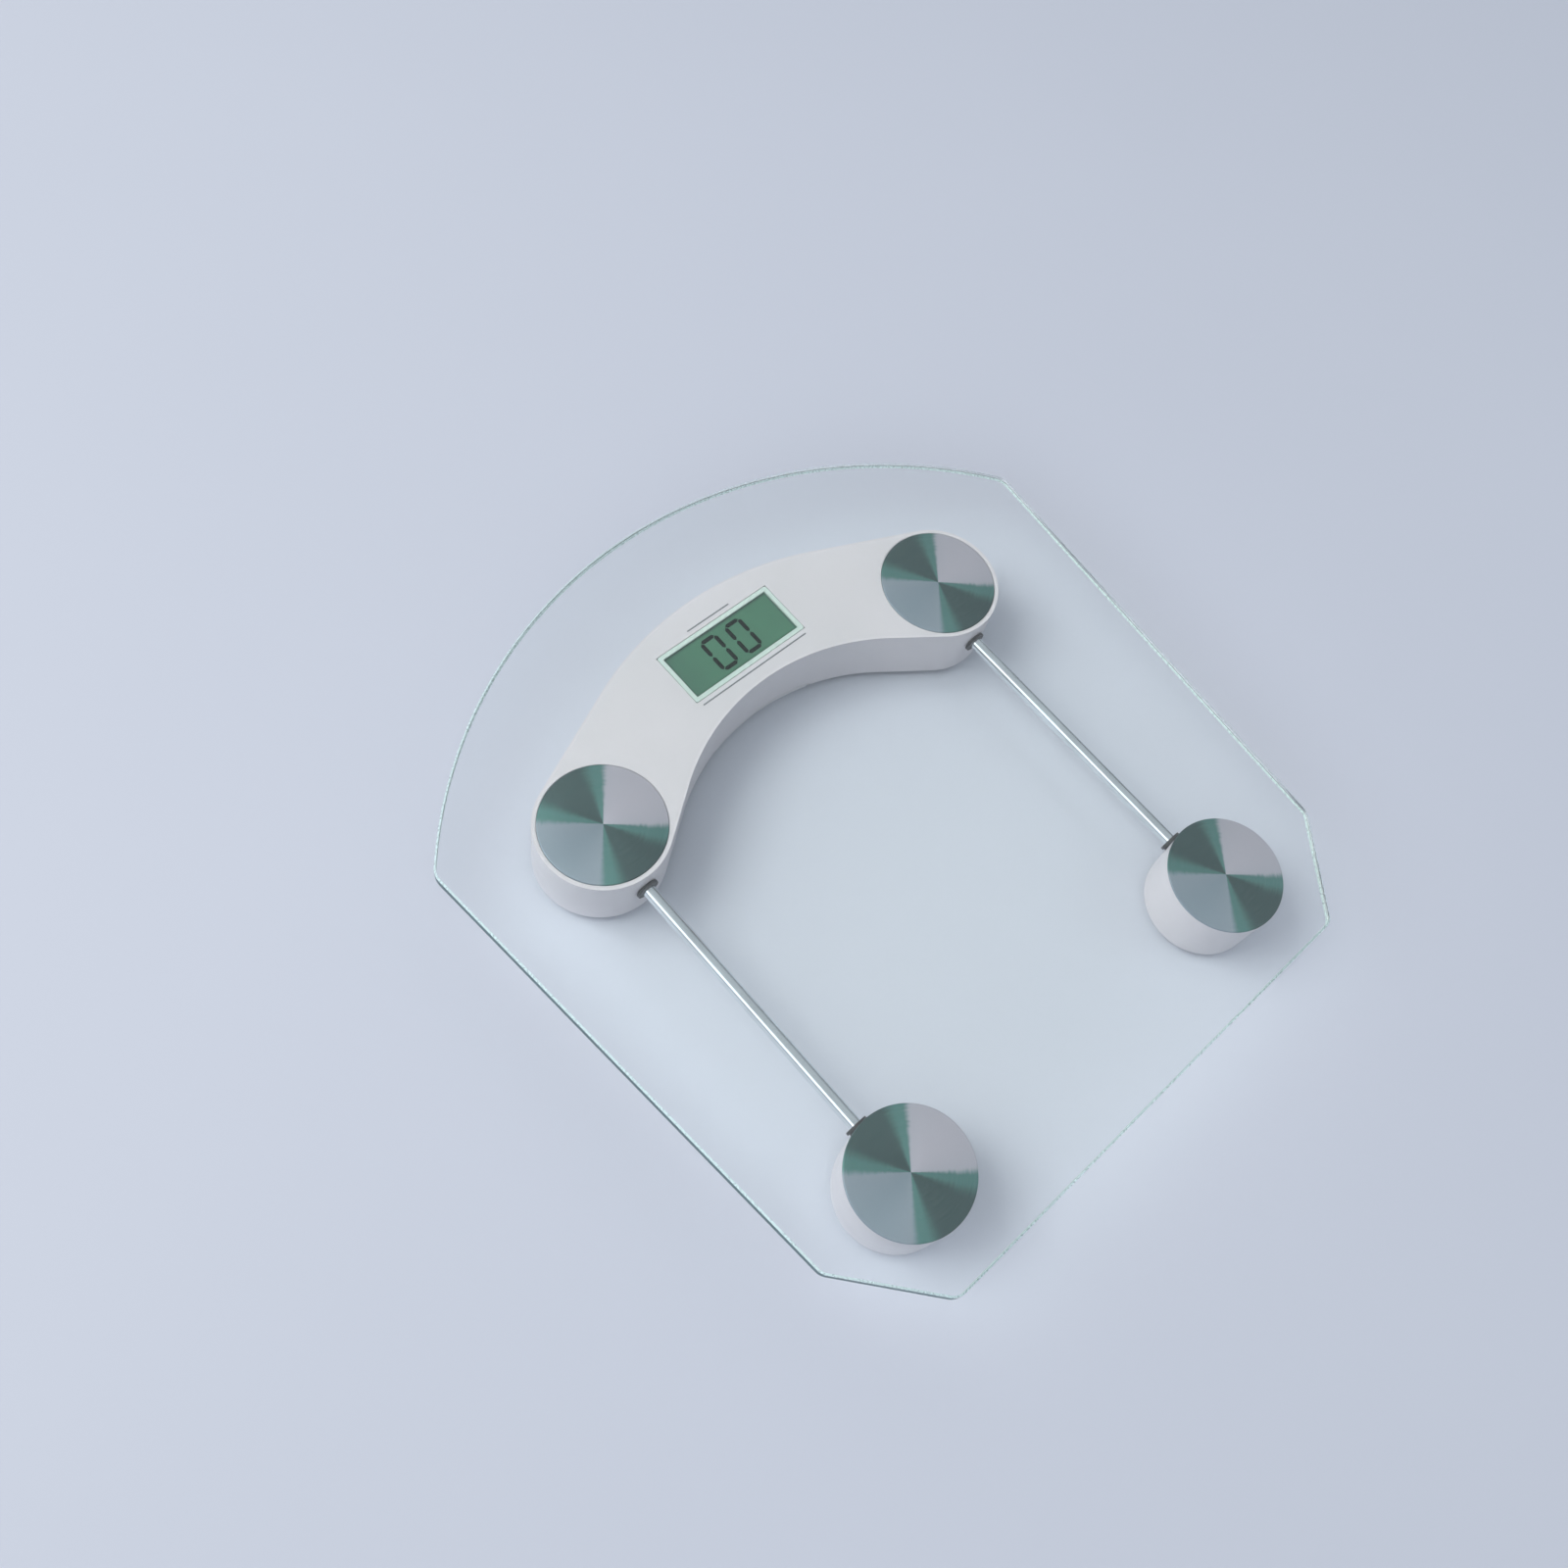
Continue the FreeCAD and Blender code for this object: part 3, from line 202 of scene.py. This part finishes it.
def spun_steel():
    """Circular-brushed steel: hair-fine rings, and light and dark sectors that fan out from the centre,
    painted as the brushing's glints and dark reflections.
    """
    s = Shader("spun_steel", Anisotropic=0.4)
    centred = s.node("ShaderNodeVectorMath", {0: s.coords.outputs["Generated"], 1: (0.5, 0.5, 0.5)},
                     operation="SUBTRACT").outputs["Vector"]
    x, y, _ = s.axes(centred)
    radius = s.math("SQRT", s.math("ADD", s.math("MULTIPLY", x, x), s.math("MULTIPLY", y, y)))
    angle = s.math("ARCTAN2", y, x)

    def polar(outwards, around):
        """The radius and angle as a vector, each times its own factor."""
        return s.node("ShaderNodeCombineXYZ", {"X": s.math("MULTIPLY", radius, outwards),
                                               "Y": s.math("MULTIPLY", angle, around)}).outputs[0]

    rings = s.noise(1.0, 5.0, 0.65, polar(900.0, 1.6))
    bands = s.noise(1.0, 2.0, 0.5, polar(60.0, 0.5))
    turn = s.math("SUBTRACT", angle, math.radians(PAINTED_GLINT_TURN))
    glint_sectors = s.math("COSINE", s.math("MULTIPLY", turn, 2.0))
    glint_swing = s.math("ADD", glint_sectors, s.spread(bands, -0.05, 0.05))
    # painted reflection: the light sectors are painted glints and the dark ones painted dark reflections,
    # with a brighter teal fringe at their edges
    light = s.span(glint_swing, -0.16, 0.14, 0.0, 1.0, True)
    dark_reflection_fringe = s.span(glint_swing, -0.80, -0.35, 0.0, 1.0, True)
    dark = s.mix(dark_reflection_fringe, rgb(0.004, 0.045, 0.042), rgb(0.050, 0.185, 0.165))
    # painted light: the glint sector towards +X is painted brighter than the one towards -X
    painted_side_light = s.span(s.math("COSINE", turn), -1.0, 1.0, 0.0, 1.0)
    glint_colour = s.mix(painted_side_light, rgb(0.21, 0.27, 0.32), rgb(0.45, 0.43, 0.49))
    painted_reflection = s.mix(light, dark, glint_colour)
    s.set("Base Color", s.mix(s.spread(rings, 0.0, 0.22), painted_reflection, rgb(0.42, 0.48, 0.49)))
    # the painted glint sectors are also made less metallic than the painted dark reflections
    s.set("Metallic", s.span(light, 0.0, 1.0, 0.55, 0.30))
    s.set("Roughness", s.spread(rings, 0.40, 0.54))
    s.set("Tangent", s.node("ShaderNodeTangent", direction_type="RADIAL", axis="Z").outputs[0])
    s.bump(rings, 0.02 * MM, 0.35)
    return s.material


def bright_metal(name, colour, roughness, streak=(1.0, 1.0, 1.0), streak_scale=900.0):
    """Plated or stamped metal with fine streaks along one direction."""
    s = Shader(name, Metallic=1.0)
    streaks = s.noise(streak_scale, 3.0, 0.6, s.scaled(streak))
    cloud = s.noise(40.0)
    shade = [channel * 0.86 for channel in colour]
    s.set("Base Color", s.mix(s.spread(cloud, 0.0, 1.0), rgb(*colour), rgb(*shade)))
    s.set("Roughness", s.spread(streaks, roughness * 0.7, roughness * 1.5))
    s.bump(streaks, 0.01 * MM, 0.3)
    return s.material


def pad_rubber():
    """Matt non-slip rubber with a leathery grain."""
    s = Shader("pad_rubber", Sheen_Weight=0.15, Sheen_Roughness=0.5)
    s.set("Base Color", s.mix(s.noise(60.0, 4.0), rgb(0.20, 0.21, 0.21), rgb(0.30, 0.31, 0.31)))
    s.set("Roughness", s.spread(s.noise(300.0), 0.68, 0.88))
    cells = s.node("ShaderNodeTexVoronoi", {"Vector": s.position(), "Scale": 900.0}).outputs["Distance"]
    s.bump(cells, 0.08 * MM, 0.6)
    return s.material


def display_green():
    """The reflective green field of the display, darker towards one end, with a painted shadow under the
    frame's edge.
    """
    s = Shader("display_green", Coat_Weight=0.5, Coat_Roughness=0.06)
    low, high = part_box("lcd_panel")
    middle = (low + high) / 2
    x, y, _ = s.axes(s.position())

    def outside(place, centre, half):
        """How far a place lies outside the window along one axis."""
        return s.math("SUBTRACT", s.math("ABSOLUTE", s.math("SUBTRACT", place, centre)), half)

    end = s.span(x, low.x, low.x + 0.35 * (high.x - low.x), 1.0, 0.0, True)
    field = s.mix(s.noise(90.0, 4.0), rgb(0.045, 0.155, 0.092), rgb(0.062, 0.195, 0.115))
    field = s.mix(s.math("MULTIPLY", end, 0.45), field, rgb(0.040, 0.120, 0.085))
    beyond = s.math("MAXIMUM", outside(x, middle.x, LCD_HALF.x), outside(y, middle.y, LCD_HALF.y))
    # painted shadow: the field is darkened just inside the window's edge, where the frame shades it
    frame_shadow = s.span(beyond, -1.6 * MM, -0.2 * MM, 0.0, 0.75, True)
    s.set("Base Color", s.mix(frame_shadow, field, rgb(0.018, 0.058, 0.042)))
    s.set("Roughness", s.spread(s.noise(600.0), 0.30, 0.42))
    s.bump(s.noise(3000.0, 1.0), 0.01 * MM, 0.3)
    return s.material


def display_ink(name, dark, light):
    """Liquid crystal segments: almost black green, slightly mottled."""
    s = Shader(name, Specular_IOR_Level=0.15)
    s.set("Base Color", s.mix(s.noise(500.0), rgb(*dark), rgb(*light)))
    s.set("Roughness", s.spread(s.noise(900.0), 0.45, 0.60))
    return s.material


def striped_silicone():
    """Zebra strip: alternating conductive and plain layers."""
    s = Shader("striped_silicone")
    wave = s.node("ShaderNodeTexWave", {"Vector": s.position(), "Scale": 600.0, "Distortion": 0.1},
                  bands_direction="X").outputs["Fac"]
    s.set("Base Color", s.mix(s.span(wave, 0.4, 0.6, 0.0, 1.0), rgb(0.05, 0.05, 0.05), rgb(0.75, 0.45, 0.40)))
    s.set("Roughness", s.spread(s.noise(400.0), 0.5, 0.65))
    return s.material


def solder_mask():
    """Green board lacquer with faint copper tracks under it."""
    s = Shader("solder_mask", Coat_Weight=0.3, Coat_Roughness=0.15)
    tracks = s.node("ShaderNodeTexBrick", {"Vector": s.scaled((600.0, 600.0, 600.0)), "Scale": 1.0,
                                           "Mortar Size": 0.06}).outputs["Fac"]
    s.set("Base Color", s.mix(tracks, rgb(0.015, 0.16, 0.06), rgb(0.03, 0.24, 0.10)))
    s.set("Roughness", s.spread(s.noise(200.0), 0.28, 0.40))
    s.bump(tracks, 0.04 * MM, 0.5)
    return s.material


def plain_coating(name, colour, shade, roughness):
    """Small inner parts: sheaths, resin, jackets."""
    s = Shader(name)
    cells = 120.0
    s.set("Base Color", s.mix(s.noise(cells), rgb(*colour), rgb(*shade)))
    s.set("Roughness", s.spread(s.noise(cells * 3), roughness * 0.85, roughness * 1.2))
    s.bump(s.noise(cells * 8), 0.02 * MM, 0.4)
    return s.material


# ------------------------------------------------------------------ shapes
def add_object(name, data):
    made = bpy.data.objects.new(name, data)
    bpy.context.scene.collection.objects.link(made)
    return made


def built(name, build):
    """The object of a finished bmesh, with its faces turned outwards."""
    bmesh.ops.recalc_face_normals(build, faces=build.faces)
    mesh = bpy.data.meshes.new(name)
    build.to_mesh(mesh)
    build.free()
    return add_object(name, mesh)


def rounded_slab(name, outline, low, high, bevel):
    """A thin flat piece with softened edges, from the corners of its outline."""
    build = bmesh.new()
    face = build.faces.new([build.verts.new((x, y, low)) for x, y in outline])
    raised = bmesh.ops.extrude_face_region(build, geom=[face])["geom"]
    for item in raised:
        if isinstance(item, bmesh.types.BMVert):
            item.co.z = high
    piece = built(name, build)
    soften = piece.modifiers.new("soften", "BEVEL")
    soften.width = bevel
    soften.segments = 2
    soften.limit_method = "ANGLE"
    return piece


def rectangle(x_low, x_high, y_low, y_high):
    return [(x_low, y_low), (x_high, y_low), (x_high, y_high), (x_low, y_high)]


def turned(name, profile, middle):
    """A lathe-turned piece about a vertical axis, from (radius, height) points, top middle outwards."""
    build = bmesh.new()
    angles = [2 * math.pi * step / LATHE_STEPS for step in range(LATHE_STEPS)]
    rims = []
    for radius, height in profile[1:-1]:
        rims.append([build.verts.new((middle.x + radius * math.cos(angle),
                                      middle.y + radius * math.sin(angle), height)) for angle in angles])
    top = build.verts.new((middle.x, middle.y, profile[0][1]))
    bottom = build.verts.new((middle.x, middle.y, profile[-1][1]))
    for step in range(LATHE_STEPS):
        after = (step + 1) % LATHE_STEPS
        build.faces.new((top, rims[0][step], rims[0][after]))
        build.faces.new((bottom, rims[-1][after], rims[-1][step]))
        for inner, outer in zip(rims, rims[1:]):
            build.faces.new((inner[step], outer[step], outer[after], inner[after]))
    for face in build.faces:
        face.smooth = True
    return built(name, build)


# ------------------------------------------------------------------ assembly
WHITE = moulded_plastic("satin_white", (0.68, 0.65, 0.68), (0.64, 0.62, 0.645))
DARK = moulded_plastic("black_nylon", (0.035, 0.038, 0.04), (0.05, 0.055, 0.055), 0.45)
GREY = moulded_plastic("light_grey", (0.42, 0.43, 0.45), (0.38, 0.39, 0.41), 0.42)
ZINC = bright_metal("zinc_plate", (0.58, 0.60, 0.62), 0.25)
CELL = bright_metal("cell_steel", (0.45, 0.46, 0.48), 0.30, (1.0, 0.05, 1.0))
CHROME = bright_metal("chrome_plate", (0.86, 0.91, 0.92), 0.08, (1.0, 0.02, 1.0), 1500.0)

PAINT = {
    "glass_platform": platform_glass(),
    "crescent_bond_film": clear_adhesive(),
    "crescent_shell": WHITE,
    "crescent_cover": moulded_plastic("cover_white", (0.68, 0.67, 0.69), (0.64, 0.635, 0.65), 0.42, 2.5),
    "cover_screws": ZINC,
    "battery_door": moulded_plastic("door_white", (0.70, 0.69, 0.71), (0.66, 0.655, 0.67), 0.40, 2.0),
    "battery": plain_coating("battery_jacket", (0.05, 0.055, 0.07), (0.08, 0.085, 0.10), 0.32),
    "battery_snap": DARK,
    "battery_leads": plain_coating("lead_insulation", (0.42, 0.03, 0.025), (0.52, 0.05, 0.04), 0.45),
    "lcd_frame": moulded_plastic("mint_frame", (0.60, 0.71, 0.66), (0.55, 0.67, 0.62), 0.28),
    "lcd_panel": display_green(),
    "lcd_digits": display_ink("display_ink", (0.002, 0.007, 0.005), (0.004, 0.012, 0.009)),
    "lcd_light_guide": plain_coating("guide_acrylic", (0.10, 0.38, 0.18), (0.14, 0.45, 0.22), 0.25),
    "lcd_zebra_strips": striped_silicone(),
    "circuit_board": solder_mask(),
    "board_screws": ZINC,
    "board_components": plain_coating("ceramic_parts", (0.22, 0.12, 0.06), (0.34, 0.20, 0.10), 0.5),
    "controller_chip": plain_coating("chip_resin", (0.008, 0.008, 0.009), (0.015, 0.015, 0.016), 0.22),
    "tap_switch": ZINC,
    "unit_switch": DARK,
    "unit_button": GREY,
    "wire_plugs": moulded_plastic("plug_nylon", (0.72, 0.71, 0.66), (0.68, 0.66, 0.61), 0.45),
    "strain_gauges": plain_coating("gauge_film", (0.50, 0.28, 0.08), (0.62, 0.38, 0.14), 0.3),
}
RUBBER = pad_rubber()
SPUN = spun_steel()
SHEATH = plain_coating("wire_sheath", (0.50, 0.50, 0.49), (0.58, 0.58, 0.56), 0.5)
for foot in FEET:
    PAINT[foot + "_load_cell"] = CELL
    PAINT[foot + "_cell_clamp"] = GREY
    PAINT[foot + "_foot_shoe"] = WHITE
    PAINT[foot + "_foot_screw"] = ZINC
    PAINT[foot + "_foot_pad"] = RUBBER
    PAINT[foot + "_cell_wire"] = SHEATH
for side in ("left", "right"):
    PAINT[side + "_wire_tube"] = CHROME
    PAINT[side + "_tube_bushes"] = DARK
    PAINT["front_" + side + "_foot_housing"] = WHITE
for node, material in PAINT.items():
    nodes[node].data.materials.clear()
    nodes[node].data.materials.append(material)


def trim_discs():
    """Spun steel discs with a dimpled middle and a rolled edge."""
    for foot in FEET:
        low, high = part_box(foot + "_disc")
        middle = (low + high) / 2
        radius = (high.x - low.x) / 2
        top = high.z - GLASS_GAP
        profile = [(out * MM, top - depth * MM) for out, depth in DIMPLE]
        profile += [(radius - inset * MM, top - depth * MM) for inset, depth in ROLLED_EDGE]
        profile += [(radius, low.z), (0, low.z)]
        disc = turned("disc_" + foot, profile, middle)
        disc.data.materials.append(SPUN)
        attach(disc, "platform")
        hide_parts(foot + "_disc")


def adhesive_film():
    """The clear film, a hair thinner than its gap so that it shares no face with the glass or the housing."""
    mesh = nodes["crescent_bond_film"].data.copy()
    low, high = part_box("crescent_bond_film")
    middle = (low.z + high.z) / 2
    thinning = 1 - 2 * GLASS_GAP / (high.z - low.z)
    for vertex in mesh.vertices:
        vertex.co.z = middle + (vertex.co.z - middle) * thinning
    film = add_object("adhesive_film", mesh)
    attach(film, "platform")
    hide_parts("crescent_bond_film")


def display_rules():
    """Two fine printed rules on the housing, one each side of the window, in place of its printed words."""
    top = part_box("crescent_shell")[1].z
    ink = display_ink("printed_ink", (0.10, 0.11, 0.13), (0.16, 0.17, 0.19))
    margin = 2.6 * MM              # from the window's frame to a rule's middle
    half_width = 0.35 * MM
    thickness, bevel = 0.03 * MM, 0.01 * MM
    for name, y, half_length in (("rule_below", frame_low.y - margin, 30.0 * MM),
                                 ("rule_above", frame_high.y + margin, 12.0 * MM)):
        outline = rectangle(-half_length, half_length, y - half_width, y + half_width)
        rule = rounded_slab(name, outline, top, top + thickness, bevel)
        rule.data.materials.append(ink)
        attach(rule, "platform")


trim_discs()
adhesive_film()
display_rules()


# ------------------------------------------------------------------ stage, light and camera
def floor():
    half = 6.0
    mesh = bpy.data.meshes.new("floor")
    mesh.from_pydata([(x, y, 0) for x, y in rectangle(-half, half, -half, half)], [], [(0, 1, 2, 3)])
    plane = add_object("floor", mesh)
    s = Shader("pale_floor", Roughness=0.6)
    s.set("Base Color", s.mix(s.noise(3.0), rgb(0.60, 0.63, 0.70), rgb(0.63, 0.66, 0.73)))
    mesh.materials.append(s.material)


def area_light(name, place, size, power, colour):
    """A square lamp aimed at the scale, which can't be seen through the glass."""
    lamp = bpy.data.lights.new(name, "AREA")
    lamp.shape = "RECTANGLE"
    lamp.size, lamp.size_y = size, size
    lamp.energy = power
    lamp.color = colour
    lamp_object = add_object(name, lamp)
    lamp_object.location = place
    lamp_object.visible_transmission = False
    lamp_object.rotation_euler = (LAMP_AIM - Vector(place)).to_track_quat("-Z", "Y").to_euler()


def studio():
    """Soft daylight, darkest low on the right, a soft box half way up on the left, a key lamp and a fill."""
    daylight, softbox = 0.56, 2.3      # strengths of the sky and of the soft box in it
    tilt = -0.5                        # the sky darkens towards +X as well as downwards
    world = bpy.data.worlds.new("studio")
    world.use_nodes = True
    world.cycles.sampling_method = "NONE"
    tree = world.node_tree
    coords = add_node(tree, "ShaderNodeTexCoord")
    way = add_node(tree, "ShaderNodeSeparateXYZ", {"Vector": coords.outputs["Generated"]}).outputs
    rise = add_node(tree, "ShaderNodeMath", {0: way["X"], 1: tilt, 2: way["Z"]}, operation="MULTIPLY_ADD")
    ramp = add_node(tree, "ShaderNodeValToRGB",
                    {"Fac": map_range(tree, rise.outputs[0], -0.30, 0.45, 0.0, 1.0, True)})
    ramp.color_ramp.elements[0].color = rgb(0.14, 0.17, 0.19)
    ramp.color_ramp.elements[1].color = rgb(0.84, 0.89, 0.97)
    leftward = map_range(tree, way["X"], -0.50, -0.72, daylight, softbox, True)
    strength = map_range(tree, way["Z"], 0.32, 0.46, daylight, leftward, True)
    background = tree.nodes["Background"]
    plug(tree, background.inputs["Color"], ramp.outputs["Color"])
    plug(tree, background.inputs["Strength"], strength)
    bpy.context.scene.world = world
    area_light("key", (-0.9, 0.9, 1.6), 1.0, 15.5, (1.0, 0.98, 0.96))
    area_light("fill", (1.2, -1.1, 1.9), 1.0, 5.0, (0.92, 0.95, 1.0))
    bpy.context.scene.view_settings.view_transform = "Standard"


def camera():
    """Above and to the left of the user, rolled so that the display side is up and left in the picture."""
    eye = Vector((-277.0, -119.2, 632.9)) * MM
    target = Vector((13.8, 14.0, 37.0)) * MM
    roll = math.radians(24.7)
    back = (eye - target).normalized()
    level = Vector((0, 0, 1)).cross(back).normalized()
    rise = back.cross(level)
    right = level * math.cos(roll) + rise * math.sin(roll)
    up = rise * math.cos(roll) - level * math.sin(roll)
    lens = bpy.data.cameras.new("camera")
    lens.lens = 35.6
    lens.sensor_width = 36.0
    lens.shift_x = -0.0625
    lens.shift_y = -0.0125
    lens.clip_start = 0.01
    view = add_object("camera", lens)
    view.matrix_world = Matrix.Translation(eye) @ Matrix((right, up, back)).transposed().to_4x4()
    bpy.context.scene.camera = view


floor()
studio()
camera()
